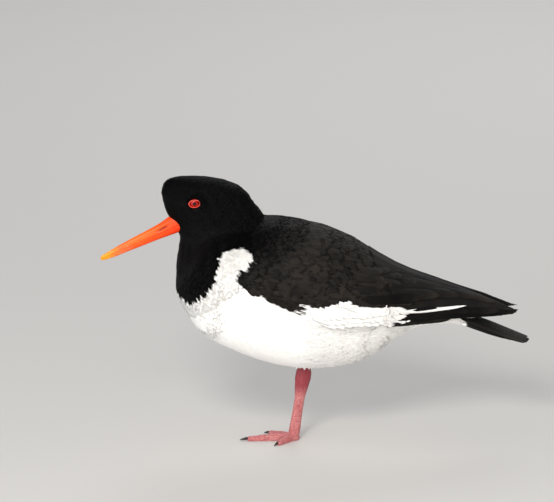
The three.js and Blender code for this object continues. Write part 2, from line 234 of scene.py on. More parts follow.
def cloud(tree, where, scale, detail):
    """Soft uneven noise from 0 to 1."""
    inputs = {"Vector": where, "Scale": scale, "Detail": detail}
    return add(tree, "ShaderNodeTexNoise", inputs).outputs["Fac"]


def relief(tree, height, strength, depth_mm):
    """Fine relief that is drawn by shading alone."""
    inputs = {"Height": height, "Strength": strength, "Distance": depth_mm * MM}
    return add(tree, "ShaderNodeBump", inputs).outputs[0]


# %% [markdown]
# ## The form under the feathers
#
# The solids of head, neck, trunk and folded wings are parted by thin cuts, but a real bird has one
# skin. So copies of them are swollen a hair until they touch, wrapped in one even mesh by a voxel
# remesh, and smoothed. A sculpt would do the same by hand, but this keeps the measured outline.
# Then the skin is sunk by the depth of the plumage, so that the feathers bring the surface back
# out to where the solids had it.

# %% Wrap solids in one smooth mesh
def wrapped(name, nodes, voxel_mm, smooth_steps, swell_mm=0.25):
    bm = bmesh.new()
    for node in nodes:
        part = bmesh.new()
        part.from_mesh(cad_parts[node].data)
        bmesh.ops.remove_doubles(part, verts=part.verts, dist=2e-6)
        part.normal_update()
        for vertex in part.verts:
            vertex.co += vertex.normal * swell_mm * MM
        mesh = bpy.data.meshes.new("part")
        part.to_mesh(mesh)
        part.free()
        bm.from_mesh(mesh)
        bpy.data.meshes.remove(mesh)
    rough_mesh = bpy.data.meshes.new(name + "_rough")
    bm.to_mesh(rough_mesh)
    bm.free()
    rough = new_piece(name + "_rough", rough_mesh)
    wrap = rough.modifiers.new("wrap", "REMESH")
    wrap.mode = "VOXEL"
    wrap.voxel_size = voxel_mm * MM
    wrap.use_smooth_shade = True
    even = rough.modifiers.new("even", "SMOOTH")
    even.factor = 0.5
    even.iterations = smooth_steps
    return as_plain_mesh(rough, name)


def read_points(mesh):
    """A mesh's points and normals, the points in millimetres."""
    points = np.empty(len(mesh.vertices) * 3)
    mesh.vertices.foreach_get("co", points)
    normals = np.empty(len(mesh.vertices) * 3)
    mesh.vertices.foreach_get("normal", normals)
    return points.reshape(-1, 3) / MM, normals.reshape(-1, 3)


def write_points(mesh, points_mm):
    mesh.vertices.foreach_set("co", (points_mm * MM).ravel())
    mesh.update()


def soften(mesh, rounds, weight):
    """Evens a mesh out, then swells it back by what that took off its roundness."""
    ends = np.empty(len(mesh.edges) * 2, np.int32)
    mesh.edges.foreach_get("vertices", ends)
    one, other = ends.reshape(-1, 2).T
    start, end = np.concatenate([one, other]), np.concatenate([other, one])
    neighbours = np.bincount(start)[:, None]

    def evened(values, times):
        """Each value moves, time after time, by its weight towards its neighbours' mean."""
        for _ in range(times):
            sums = [np.bincount(start, column[end]) for column in values.T]
            values = values + weight[:, None] * (np.stack(sums, axis=1) / neighbours - values)
        return values

    faceted, _ = read_points(mesh)
    write_points(mesh, evened(faceted, rounds))
    even, normals = read_points(mesh)
    lost = ((faceted - even) * normals).sum(axis=1, keepdims=True)
    write_points(mesh, even + normals * evened(lost, 2 * rounds))


def store(mesh, name, values):
    """Keeps one number or one vector for each point of a mesh."""
    values = np.asarray(values, float)
    vector = values.ndim == 2
    layer = mesh.attributes.new(name, "FLOAT_VECTOR" if vector else "FLOAT", "POINT")
    layer.data.foreach_set("vector" if vector else "value", values.ravel())


def towards_head(points):
    """How far a place is on the head's side of the line from the throat to the nape."""
    return points[:, 2] - (200 + 0.75 * (points[:, 0] + 60))


BODY_NODES = ["head", "neck", "trunk", "wing_left_coverts", "wing_right_coverts"]
BILL_BASE = np.array([-106, 0, 204.2])
BODY_COAT = 1.4
HEAD_COAT = 0.9

skin = wrapped("skin", BODY_NODES, voxel_mm=1.6, smooth_steps=6)
place, normal = read_points(skin.data)
# The body's broad facets need far more evening out than the head, whose small forms must stay.
off_head = smoothstep(4, -30, towards_head(place))
soften(skin.data, 45, 0.1 + 0.5 * off_head)
place, normal = read_points(skin.data)
x, y, z = place.T
from_bill = np.linalg.norm(place - BILL_BASE, axis=1)
headward = towards_head(place)
on_head = smoothstep(-14, 10, headward)
on_neck = smoothstep(-62, -16, headward) * (1 - on_head)
on_back = smoothstep(-6, 10, z - (150 - 0.12 * x)) * (1 - on_head)
coat_depth = BODY_COAT + (HEAD_COAT - BODY_COAT) * on_head
# The plumage thins out to a third where it meets the bill.
coat_depth *= 0.35 + 0.65 * smoothstep(6, 26, from_bill)
write_points(skin.data, place - normal * coat_depth[:, None])
shallow, deep = round(coat_depth.min(), 2), round(coat_depth.max(), 2)
print("skin:", len(place), "points, sunk", shallow, "to", deep)

# %% [markdown]
# ## Black above, white below
#
# An adult is sooty black above and white below, and the line between the two is the bird's
# signature: a straight bib, a white hook in front of the folded wing, a ragged edge where dark
# coverts lie over the white flank. The line is drawn once, as a curve in the side view, and both
# the skin and each feather ask how far they are from it.

# %% The line between black and white
DARK_EDGE = [
    (-140, 139.5), (-104, 139.5), (-100, 137), (-95.5, 134), (-86.3, 143), (-77.7, 153.9),
    (-72.8, 164.2), (-71.3, 171.9), (-69.5, 181.8), (-64.5, 187), (-55.5, 190.4), (-45.5, 190.8),
    (-39.5, 186.3), (-38, 179.8), (-41.9, 175.2), (-46, 171.8), (-51.5, 170.5), (-52.8, 160.5),
    (-42, 155.5), (-31.9, 149.5), (-21.2, 142.5), (-3.2, 134), (4.2, 135), (7.4, 142),
    (9.4, 142), (13.6, 136.8), (25.4, 138), (32.7, 142), (47.3, 142.8), (60.2, 139), (69.5, 134.4),
    (90, 132.6), (112.7, 129.7), (140, 127.4), (260, 120),
]
DARK_SHAPE = np.array(DARK_EDGE + [(260, 320), (-140, 320)], float)


def into_dark(px, pz):
    """Millimetres into the black, seen from the side: negative in the white."""
    inside = np.zeros(px.shape, bool)
    gap = np.full(px.shape, 1e9)
    for a, b in zip(DARK_SHAPE, np.roll(DARK_SHAPE, -1, axis=0)):
        run = b - a
        t = np.clip(((px - a[0]) * run[0] + (pz - a[1]) * run[1]) / (run @ run), 0, 1)
        gap = np.minimum(gap, np.hypot(px - a[0] - t * run[0], pz - a[1] - t * run[1]))
        level = (a[1] > pz) != (b[1] > pz)
        with np.errstate(divide="ignore", invalid="ignore"):
            crossing = a[0] + (pz - a[1]) * run[0] / (run[1] if run[1] else np.inf)
        inside ^= level & (px < crossing)
    return np.where(inside, gap, -gap)


dark_depth = into_dark(x, z)
print("share of the skin in the black:", round(float((dark_depth > 0).mean()), 2))

# %% [markdown]
# ## The lie of the coat
#
# Feathers point away from the bill and towards the tail: straight back over the crown, down the
# throat and breast, back along the flanks. That direction, the feather's length and the place of
# its root on a flat map, which is the body unrolled about its long axis, are stored on the skin's
# points, and the feathers read them there.

# %% The flat map
PATCH = 0.003  # a blade's patch on the flat map of the skin
BODY_FRONT = -130
BODY_SPAN = 350
BODY_AXIS = 128  # height of the axis that the body is unrolled about


def unrolled_at(along, across, above_axis):
    """A place on the body's surface, unrolled about its long axis into a unit square."""
    round_body = np.arctan2(across, above_axis) / (2 * math.pi) + 0.5
    return np.stack([(along - BODY_FRONT) / BODY_SPAN, round_body], axis=-1)


# %% Directions, lengths and zones on the skin
away = (place - BILL_BASE) / from_bill[:, None]
over_head = away * [1, 1, 0.8] + [0.5, 0, -0.15]
down_front = np.array([0.42, 0, -1.0])
down_neck = np.array([0.62, 0, -0.72])
along_body = np.array([1.0, 0, -0.2])
backwards = smoothstep(-104, -80, x)[:, None]
lie = down_front * (1 - backwards) + along_body * backwards
lie += (down_neck - lie) * on_neck[:, None]
lie += (over_head - lie) * on_head[:, None]
lie -= normal * (lie * normal).sum(axis=1)[:, None]
lie /= np.linalg.norm(lie, axis=1)[:, None] + 1e-9

# Feathers are 9.5 mm long below, 14 on the back and 8 on the neck, and shorter towards the bill.
length = 9.5 + 4.5 * on_back
length += (8 - length) * on_neck
length += (2.6 + 0.055 * from_bill - length) * on_head
flat_map = unrolled_at(x, y, z - (BODY_AXIS + 20 * (1 - backwards[:, 0])))

store(skin.data, "lie", lie)
# In the fold of the nape the feathers stand up a little, or they would dive into the back.
store(skin.data, "perk", 0.25 * np.exp(-(((headward + 5) / 10) ** 2)) * smoothstep(-85, -60, x))
store(skin.data, "length", length)
# What shows of a feather is its tip, so the tip decides whether the feather is black or white.
tip_x, _, tip_z = (place + 0.8 * length[:, None] * lie).T
store(skin.data, "dark_depth", into_dark(tip_x, tip_z))
store(skin.data, "flat_map", np.column_stack([flat_map, 0 * x]))
bib_hem = smoothstep(12, 4, np.hypot(x + 95, z - 136))
wing_hem = smoothstep(-58, -50, x) * smoothstep(6, 0, x)
on_face = on_head * (1 - smoothstep(26, 34, from_bill))
# The head and breast are deep black, and the wings a softer, browner black.
faded = 0.15 + 0.85 * smoothstep(-80, -20, x - 1.2 * (z - 170)) * smoothstep(-80, -55, x)
store(skin.data, "faded", faded)
# The long feathers of the wings roof the rump, so no blades are laid there.
roofed = (x > 96) & (normal[:, 2] > 0.2) & (z > 124)
on_body = (on_head <= 0.5) & (on_neck <= 0.35)
ZONES = {
    "face": on_face > 0.5,
    "head": (on_head > 0.5) & (on_face <= 0.5),
    "neck": (on_head <= 0.5) & (on_neck > 0.35),
    "back": on_body & (dark_depth > 0) & ~roofed,
    "breast": on_body & (dark_depth <= 0) & (x <= 5),
    "belly": on_body & (dark_depth <= 0) & (x > 5),
    "hem": (on_head <= 0.5) & (np.abs(dark_depth - 3) < 3.5) & (z < 172) & (bib_hem + wing_hem > 0.5),
}
for zone, inside in ZONES.items():
    store(skin.data, "zone_" + zone, inside)
    print(zone, int(inside.sum()), "points")

# %% [markdown]
# ## One feather, many times
#
# A contour feather is a thin curved blade with a stiff shaft, and its loose tip frays into a few
# points. A few unlike blades are enough: each has a face above and a face below that share one
# outline, so it is a closed body of only 28 triangles. Particle hair would be quicker to set up,
# but it isn't real mesh. Geometry Nodes scatter the blades over the skin, lay each along the lie
# of the coat and lift its tip over the next one's root, like roof tiles.

# %% The blades that are scattered
# Shares of a blade's length, but for the dish, which is a share of its breadth.
BLADE_CURL = 0.1
BLADE_DISH = 0.055
SHAFT_ABOVE = 0.014
SHAFT_BELOW = -0.01


def feather_blade(name, breadth, fray, seed):
    """A blade of length 1 along +X, with its own flat coordinates kept as an attribute."""
    jog = jogger(seed)
    rows = [
        [(0.0, 0.0)],
        [(0.25, -0.3), (0.25, 0.0), (0.25, 0.3)],
        [(0.58, -0.5), (0.58, 0.0), (0.58, 0.5)],
        [(1 - fray, s) for s in (-0.46, -0.16 + jog(0.06), 0.16 + jog(0.06), 0.46)],
        [(0.93 + jog(0.1), -0.33 + jog(0.1)), (1.0, jog(0.14)), (0.94 + jog(0.1), 0.33 + jog(0.1))],
    ]
    on_shaft = {(1, 1), (2, 1)}
    points, flat, upper, lower = [], [], {}, {}
    for r, row in enumerate(rows):
        for c, (t, s) in enumerate(row):
            bent = -BLADE_CURL * t**2 - BLADE_DISH * breadth * (2 * s) ** 2
            for face, ridge in ((upper, SHAFT_ABOVE), (lower, SHAFT_BELOW)):
                if (r, c) not in on_shaft and face is lower:
                    lower[r, c] = upper[r, c]
                    continue
                face[r, c] = len(points)
                points.append((t, s * breadth, bent + (ridge if (r, c) in on_shaft else 0)))
                flat.append((t, s, 0))
    triangles = [((0, 0), (1, 0), (1, 1)), ((0, 0), (1, 1), (1, 2))]
    for c in (0, 1):
        triangles += [((1, c), (2, c), (2, c + 1)), ((1, c), (2, c + 1), (1, c + 1))]
    triangles += [((2, 0), (3, 0), (3, 1)), ((2, 0), (3, 1), (2, 1)), ((2, 1), (3, 1), (3, 2))]
    triangles += [((2, 1), (3, 2), (2, 2)), ((2, 2), (3, 2), (3, 3))]
    triangles += [((3, c), (4, c), (3, c + 1)) for c in range(3)]
    faces = [[upper[k] for k in reversed(t)] for t in triangles]
    faces += [[lower[k] for k in t] for t in triangles]
    mesh = bpy.data.meshes.new(name)
    mesh.from_pydata(points, [], faces)
    mesh.update()
    store(mesh, "blade", flat)
    return bpy.data.objects.new(name, mesh)


def blade_set(name, breadth, fray, count=5):
    blades = bpy.data.collections.new(name)
    for k in range(count):
        blades.objects.link(feather_blade(f"{name}_{k}", breadth, fray, seed=k))
    return blades


broad_blades = blade_set("broad_blades", breadth=0.62, fray=0.2)
slim_blades = blade_set("slim_blades", breadth=0.4, fray=0.34)
hair_blades = blade_set("hair_blades", breadth=0.13, fray=0.4)
print("three sets of blades")

# %% The tree that lays the coat
BLADES_PER_PATCH = 1.6  # tried on each patch of skin as wide as the spacing, before the thinning


def coat_tree():
    """Blades scattered on a zone of the skin, laid along its lie, marked, and made real mesh."""
    tree = bpy.data.node_groups.new("lay_coat", "GeometryNodeTree")
    kinds = {
        "Geometry": ["Skin"], "String": ["Zone"], "Collection": ["Blades"], "Int": ["Seed"],
        "Material": ["Finish"], "Float": ["Spacing", "Longer", "Lift", "Ragged", "Darkest", "Sink"],
    }
    for kind, names in kinds.items():
        for name in names:
            tree.interface.new_socket(name, in_out="INPUT", socket_type="NodeSocket" + kind)
    tree.interface.new_socket("Coat", in_out="OUTPUT", socket_type="NodeSocketGeometry")
    given = add(tree, "NodeGroupInput").outputs

    def geometry(kind, inputs, **settings):
        return add(tree, "GeometryNode" + kind, inputs, **settings).outputs[0]

    def named(name, kind="FLOAT"):
        return geometry("InputNamedAttribute", {"Name": name}, data_type=kind)

    def random(low, high, offset):
        seed = maths(tree, "ADD", given["Seed"], offset)
        inputs = {2: low, 3: high, "Seed": seed}
        return add(tree, "FunctionNodeRandomValue", inputs, data_type="FLOAT").outputs[1]

    zone = named(given["Zone"])
    each = maths(tree, "MULTIPLY", given["Spacing"], given["Spacing"])
    density = maths(tree, "DIVIDE", BLADES_PER_PATCH, each)
    scatter = add(
        tree, "GeometryNodeDistributePointsOnFaces",
        {"Mesh": given["Skin"], "Distance Min": given["Spacing"], "Density Max": density,
         "Density Factor": zone, "Seed": given["Seed"]},
        distribute_method="POISSON",
    )
    facing = add(
        tree, "FunctionNodeAxesToRotation",
        {"Primary Axis": scatter.outputs["Normal"], "Secondary Axis": named("lie", "FLOAT_VECTOR")},
        primary_axis="Z", secondary_axis="X",
    )
    raised = maths(tree, "ADD", given["Lift"], named("perk"))
    ruffle = add(
        tree, "ShaderNodeCombineXYZ",
        {"X": random(-0.08, 0.08, 11.0),
         "Y": maths(tree, "SUBTRACT", random(-0.03, 0.03, 12.0), raised),
         "Z": random(-0.2, 0.2, 13.0)},
    )
    turned = add(
        tree, "FunctionNodeRotateRotation",
        {"Rotation": facing.outputs[0], "Rotate By": ruffle.outputs[0]}, rotation_space="LOCAL",
    )
    length = maths(tree, "MULTIPLY", named("length"), given["Longer"])
    metres = maths(tree, "MULTIPLY", maths(tree, "MULTIPLY", length, random(0.85, 1.15, 14.0)), MM)
    scale = add(tree, "ShaderNodeCombineXYZ", {"X": metres, "Y": metres, "Z": metres})
    kept = scatter.outputs["Points"]
    stray = maths(tree, "MULTIPLY", given["Ragged"], random(-1.0, 1.0, 15.0))
    depth = maths(tree, "ADD", named("dark_depth"), stray)
    dark = maths(tree, "MAXIMUM", maths(tree, "GREATER_THAN", depth, 0.0), given["Darkest"])
    tone = maths(tree, "MULTIPLY", named("faded"), random(0.5, 1.0, 16.0))
    for name, value in (("dark", dark), ("tone", tone)):
        inputs = {"Geometry": kept, "Name": name, "Value": value}
        kept = geometry("StoreNamedAttribute", inputs, data_type="FLOAT", domain="POINT")
    sink = maths(tree, "MULTIPLY", given["Sink"], -MM)
    sunk = vectors(tree, "SCALE", scatter.outputs["Normal"], sink)
    kept = geometry("SetPosition", {"Geometry": kept, "Offset": sunk})
    inputs = {"Collection": given["Blades"], "Separate Children": True, "Reset Children": True}
    family = geometry("CollectionInfo", inputs)
    inputs = {
        "Points": kept, "Instance": family, "Pick Instance": True,
        "Rotation": turned.outputs[0], "Scale": scale.outputs[0],
    }
    laid = geometry("InstanceOnPoints", inputs)
    real = geometry("RealizeInstances", {"Geometry": laid})
    blade = vectors(tree, "SCALE", named("blade", "FLOAT_VECTOR"), PATCH)
    mapped = vectors(tree, "ADD", named("flat_map", "FLOAT_VECTOR"), blade)
    inputs = {"Geometry": real, "Name": "OFBake", "Value": mapped}
    unwrapped = geometry("StoreNamedAttribute", inputs, data_type="FLOAT2", domain="CORNER")
    finished = geometry("SetMaterial", {"Geometry": unwrapped, "Material": given["Finish"]})
    add(tree, "NodeGroupOutput", {"Coat": finished})
    return tree


lay_coat = coat_tree()


def grow_coat(name, **inputs):
    """Runs the tree on the skin and keeps the result as a plain mesh."""
    field = new_piece(name + "_field", skin.data)
    modifier = field.modifiers.new("coat", "NODES")
    modifier.node_group = lay_coat
    for item in lay_coat.interface.items_tree:
        if item.in_out == "INPUT" and item.name in inputs:
            modifier[item.identifier] = inputs[item.name]
    return as_plain_mesh(field, name)


# %% [markdown]
# ## Plumage finish
#
# Feather keratin scatters light softly and has a faint sheen where it grazes. Black feathers read
# as warm charcoal in sun, never as pure black, and each differs a little from the next. White
# ones have no pigment. One material does both, by numbers that each blade carries. Barbs are too
# fine to model, so their lines are relief in the shading alone.

# %% Feather and skin materials
def plumage(name, with_barbs):
    """Black and white feather keratin, matt, coloured by each blade's own marks."""
    material, tree = new_material(name)
    worn = cloud(tree, here(tree), 45.0, 3.0)
    tone = mark(tree, "tone")
    halves = {"Factor": 0.4, "A": tone, "B": worn}
    blend = add(tree, "ShaderNodeMix", halves, data_type="FLOAT").outputs[0]
    black = ramp(
        tree, blend,
        (0.0, "#020203"), (0.32, "#050506"), (0.52, "#191716"), (0.75, "#262320"), (1.0, "#332c26"),
    )
    white = ramp(tree, worn, (0.3, "#f8f7f4"), (0.7, "#fdfcfa"))
    shading = {}
    if with_barbs:
        blade = mark(tree, "blade", "Vector")
        along = add(tree, "ShaderNodeSeparateXYZ", {0: blade}).outputs[0]
        # The tips of worn black feathers are bleached brown.
        fringe = maths(tree, "MULTIPLY", spread(tree, along, 0.8, 1.0, to_high=tone), 0.3)
        black = mixed(tree, fringe, black, colour("#4a3f35"))
        lines = {"Vector": blade, "Scale": 9.0, "Distortion": 1.5, "Detail": 2.0}
        barbs = add(tree, "ShaderNodeTexWave", lines, bands_direction="DIAGONAL").outputs["Fac"]
        shading["Normal"] = relief(tree, barbs, 0.35, 0.4)
    dark = mark(tree, "dark")
    finish_material(
        tree, Base_Color=mixed(tree, dark, white, black), Roughness=0.6, IOR=1.54,
        Specular_IOR_Level=0.07, Sheen_Weight=0.012, Sheen_Roughness=0.4,
        # White vanes let some light through, which softens the steps between them.
        Subsurface_Weight=spread(tree, dark, 0.0, 1.0, 0.15, 0.0),
        Subsurface_Radius=(0.002, 0.0019, 0.0018), Subsurface_Scale=1.0, **shading,
    )
    return material


feather_keratin = plumage("feather_keratin", with_barbs=True)
store(skin.data, "dark", smoothstep(-0.8, 0.8, dark_depth))
store(skin.data, "tone", 0.7 * faded)
skin_under_feathers = plumage("skin_under_feathers", with_barbs=False)

# %% Lay the coat, zone by zone
COATS = {
    "face": dict(Spacing=0.72, Blades=slim_blades, Longer=1.0, Lift=0.1, Ragged=0.3, Sink=0.1),
    "head": dict(Spacing=1.0, Blades=slim_blades, Longer=1.0, Lift=0.11, Ragged=0.4, Sink=0.1),
    "neck": dict(Spacing=1.4, Blades=slim_blades, Longer=1.05, Lift=0.12, Ragged=0.7, Sink=0.1),
    "back": dict(Spacing=2.2, Blades=broad_blades, Longer=1.0, Lift=0.08, Ragged=0.7, Sink=0.1),
    "breast": dict(Spacing=1.4, Blades=slim_blades, Longer=0.75, Lift=0.035, Ragged=0.5, Sink=0.1),
    "belly": dict(Spacing=1.45, Blades=slim_blades, Longer=1.0, Lift=0.05, Ragged=0.7, Sink=0.1),
    "hem": dict(Spacing=1.5, Blades=hair_blades, Longer=0.75, Lift=0.12, Ragged=0.0, Sink=0.0),
}
for number, (zone, looks) in enumerate(COATS.items()):
    given = {**looks, "Spacing": looks["Spacing"] * MM, "Darkest": float(zone == "hem")}
    coat = grow_coat("coat_" + zone, Zone="zone_" + zone, Seed=number, Finish=feather_keratin, **given)
    slot = "white_plumage" if zone in ("breast", "belly") else "black_plumage"
    settle(coat, feather_keratin, slot=slot)
settle(skin, skin_under_feathers, *BODY_NODES, slot="white_plumage")

# %% [markdown]
# ## Flight feathers
#
# The long feathers of wing and tail are few, large and stiff, and stacked like a closed fan with
# the shortest on top. They are laid one by one from a root to a tip on the face of the folded
# wing, which is the same smooth form that the solids were made from. A feather is a thin closed
# loft: a ring of points round its section at each step of its length, rounded in at the tip, with
# a low ridge for the shaft.

# %% The face of the folded wing and of the tail
wing_top = profile(
    (-70, 192), (-40, 202), (-10, 206), (10, 206), (50, 192), (88, 168), (106, 159), (125, 151.5),
    (161, 138), (180, 131.5), (205, 121),
)
wing_half_width = profile(
    (-70, 50), (-40, 55), (0, 57), (30, 56.5), (60, 51.5), (90, 41), (115, 31.5), (140, 24),
    (165, 19.5), (205, 14.5),
)
wing_waist = profile((-70, 150), (0, 142), (60, 132), (110, 124), (160, 118), (205, 114))


def wing_out(px, pz):
    """How far the wing's face stands out from the midline at a place in the side view."""
    waist = wing_waist(px)
    reach = np.where(pz > waist, wing_top(px) - waist, 62)
    power = 1.95 - 0.2 * smoothstep(80, 100, px)
    sine = np.clip(np.abs(pz - waist) / reach, 0, 0.985) ** (power / 2)
    return wing_half_width(px) * (1 - sine**2) ** (1 / 2.1)


def wing_surface(side):
    """Points and outward directions on one wing's face, from side-view x and z."""
    def at(px, pz):
        out = wing_out(px, pz)
        # How steeply the face turns in, over one millimetre each way.
        dx = wing_out(px + 0.5, pz) - wing_out(px - 0.5, pz)
        dz = np.clip(wing_out(px, pz + 0.5) - wing_out(px, pz - 0.5), -3, 3)
        outward = np.stack([-dx, np.ones_like(dx), -dz], axis=-1)
        outward /= np.linalg.norm(outward, axis=-1, keepdims=True)
        squeeze = 1 / np.sqrt(1 + dz**2)
        points = np.stack([px, out, pz], axis=-1)
        return points * [1, side, 1], outward * [1, side, 1], squeeze

    return at


TAIL_ROOT = np.array([140, 0, 115.3])
TAIL_SLOPE = math.radians(18.5)
tail_along = np.array([math.cos(TAIL_SLOPE), 0, -math.sin(TAIL_SLOPE)])
tail_up = np.array([math.sin(TAIL_SLOPE), 0, math.cos(TAIL_SLOPE)])
tail_top = profile((0, 5), (20, 5.4), (40, 4.8), (60, 3), (80, 1.2))
SIDEWAYS = np.array([0, 1, 0])


def tail_surface(along, across):
    """Points on the closed fan of the tail, which is arched like a low roof."""
    roof = tail_top(along) - 3.6 * (across / 20) ** 2 - 0.8
    points = TAIL_ROOT + along[..., None] * tail_along + across[..., None] * SIDEWAYS
    points = points + roof[..., None] * tail_up
    outward = tail_up + (0.018 * across)[..., None] * SIDEWAYS
    return points, outward / np.linalg.norm(outward, axis=-1, keepdims=True), np.ones_like(along)


# %% One long feather, and a batch of them as one mesh
VANE_STEPS = 18
VANE_COLUMNS = 7


def add_vane(
    batch, surface, root, tip, half_width, lift,
    rise=0.4, blunt=0.3, bow=0.0, dark=1.0, tone=0.5, fray=0.06,
):
    """Lays one long feather on a surface, from root to tip in the surface's own coordinates.

    Lift is its height at the root and rise what it gains to the tip, blunt the share of its length
    that rounds in, bow how far its middle swings aside, and fray how ragged its edge is.
    """
    t = np.linspace(0, 1, VANE_STEPS)[:, None] ** 0.85
    upper = np.linspace(-1, 1, VANE_COLUMNS)
    s = np.concatenate([upper, upper[-2:0:-1]])[None]
    under = np.concatenate([np.zeros(VANE_COLUMNS), np.ones(VANE_COLUMNS - 2)])[None]
    run = np.subtract(tip, root)
    size = np.hypot(*run)
    over = np.array([-run[1], run[0]]) / size
    middle = [root[k] + run[k] * t + over[k] * bow * 4 * t * (1 - t) for k in (0, 1)]
    squeeze = surface(middle[0], middle[1])[2]
    into_tip = np.clip((t - 1 + blunt) / blunt, 0, 1)
    width = half_width * np.minimum(1, 0.08 + t / 0.2) * np.sqrt(1 - 0.985 * into_tip**2) * squeeze
    # Barbs part here and there, which leaves small steps in the vane's edge.
    jagged = np.sin(t * 37 + root[0]) * np.sin(t * 91 + root[1] + s)
    width = width * (1 + fray * (jagged + 1.5 * into_tip * np.sin(t * 140 + s * 9)))
    points, outward, _ = surface(middle[0] + over[0] * width * s, middle[1] + over[1] * width * s)
    shaft = 0.28 * np.exp(-((s / 0.16) ** 2)) * (1 - t)
    camber = -0.09 * half_width * s**2
    thick = (0.16 + 0.25 * (1 - np.abs(s))) * under
    height = lift + rise * t + camber + shaft * (1 - under) - thick
    points = points + outward * height[..., None]
    first = len(batch["points"])
    around = s.shape[1]
    batch["points"].extend(points.reshape(-1, 3))
    faces = loft_faces(VANE_STEPS, around)
    batch["faces"].extend(tuple(first + k for k in face) for face in faces)
    flat = np.stack(np.broadcast_arrays(t, s / 2, 0 * t), axis=-1).reshape(-1, 3)
    batch["blade"].extend(flat)
    batch["tone"].extend([tone] * len(flat))
    batch["dark"].extend([dark] * len(flat))
    root_x, root_y, root_z = points[0].mean(axis=0)
    batch["patch"].extend(unrolled_at(root_x, root_y, root_z - BODY_AXIS) + PATCH * flat[:, :2])


def finish_batch(name, batch):
    piece = closed(piece_from(name, batch["points"], batch["faces"]))
    for name in ("blade", "tone", "dark"):
        store(piece.data, name, batch[name])
    corners = [batch["patch"][loop.vertex_index] for loop in piece.data.loops]
    piece.data.uv_layers.new(name="OFBake").data.foreach_set("uv", np.ravel(corners))
    return piece


# %% [markdown]
# ## Laying the wing
#
# From below upwards come the dark secondaries, the primaries, whose tips step out to the wing's
# point, one white-edged secondary, the long tertials that roof the rump, the dark coverts with the
# scapulars over them, and along the flank the white greater coverts. In each group a feather is
# lifted a little more than the one under it.

# %% Primaries, secondaries, tertials and coverts
flight_keratin = plumage("flight_keratin", with_barbs=True)
wing_hem_line = profile((25, 138), (47, 143), (70, 134.5), (113, 129.7))


def lay_wing(side):
    jog = jogger(7 if side < 0 else 8)
    face = wing_surface(side)
    black, white = defaultdict(list), defaultdict(list)
    for k in range(3):
        tip = (143 - 7 * k + jog(1.5), 117.6 + 0.2 * k)
        add_vane(black, face, (80 + 3 * k, 118.5), tip, 4.0, 0.1 * k - 0.8, blunt=0.2, tone=0.4)
    for k in range(6):
        tip = (204.8 - 9.3 * k + jog(1.5), 119.8 + 0.5 * k)
        root = (92 + 3 * k, 120.5 + 1.2 * k)
        tone = 0.35 + jog(0.3)
        add_vane(black, face, root, tip, 3.3, 0.22 * k, rise=0.1, blunt=0.22, bow=0.2, tone=tone)
    root, tip = (93, 129), (155.5, 127.2)
    add_vane(white, face, root, tip, 1.9, 1.5, blunt=0.85, bow=-1.3, dark=0, tone=0.8)
    add_vane(black, face, (105, 128.5), (128, 127.9), 1.1, 1.9, blunt=0.6, tone=0.3)
    tertials = [
        ((86, 164), (173, 130), 4.2), ((84, 159), (183, 127), 4.2), ((78, 154), (168, 132), 5.2),
        ((70, 150), (150, 135.3), 5.4), ((64, 147), (131, 137.5), 5.4),
        ((58, 144), (114, 137.5), 5.2),
    ]
    for k, (root, tip, half_width) in enumerate(tertials):
        tone = 0.5 + jog(0.4)
        add_vane(black, face, root, tip, half_width, 0.2 * k - 0.5, rise=1.0, bow=0.8, tone=tone)
    for k in range(6):
        for row in range(6):
            end = 114 - 8 * k + 4 * (row % 2) + jog(4)
            low = wing_hem_line(end) + 5 + 5.2 * row + jog(1)
            root = (end - 22, low + 5.5)
            if root[1] < wing_top(root[0]) - 6 and low < wing_top(end) - 6:
                tone = 0.7 + jog(0.5)
                add_vane(black, face, root, (end, low), 4.3, -0.9, rise=1.3, blunt=0.42, tone=tone)
    for root, tip in (((60, 166), (96, 151.5)), ((52, 168), (84, 154))):
        add_vane(black, face, root, tip, 3.0, -0.7, rise=1.0, blunt=0.34, tone=0.8 + jog(0.3))
    for row, (high, low) in enumerate(((126, 118.6), (131.5, 122), (136.5, 126.8))):
        for k in range(12):
            begin = 18 + 6.4 * k - 5 * row + jog(3)
            root = (begin, high + jog(1.5))
            tip = (begin + 18 + 2 * row + jog(4), low + jog(1.6))
            add_vane(
                white, face, root, tip, 3.4 + jog(0.8), 0.1 * row + 0.06 * k - 1.8,
                rise=1.2, blunt=0.5, dark=0, tone=0.6 + jog(0.6), fray=0.05,
            )
    return black, white


def base_under(name, nodes, smooth_steps, sunk_mm, dark_from):
    """The closed form under long feathers, a little sunk, and black from one place backwards."""
    base = wrapped(name, nodes, voxel_mm=0.9, smooth_steps=smooth_steps, swell_mm=0.1)
    points, normals = read_points(base.data)
    write_points(base.data, points - sunk_mm * normals)
    store(base.data, "dark", smoothstep(dark_from, dark_from + 3, points[:, 0]))
    store(base.data, "tone", np.full(len(points), 0.6))
    settle(base, skin_under_feathers, *nodes, slot="black_plumage")


for side, sign in SIDES:
    black, white = lay_wing(sign)
    nodes = [f"wing_{side}_tertials", f"wing_{side}_primaries"]
    base_under(f"blade_base_{side}", nodes, smooth_steps=2, sunk_mm=0.35, dark_from=BODY_FRONT)
    settle(finish_batch(f"flight_feathers_{side}", black), flight_keratin, slot="black_plumage")
    settle(finish_batch(f"white_coverts_{side}", white), flight_keratin, slot="white_plumage")

# %% Tail
fan = defaultdict(list)
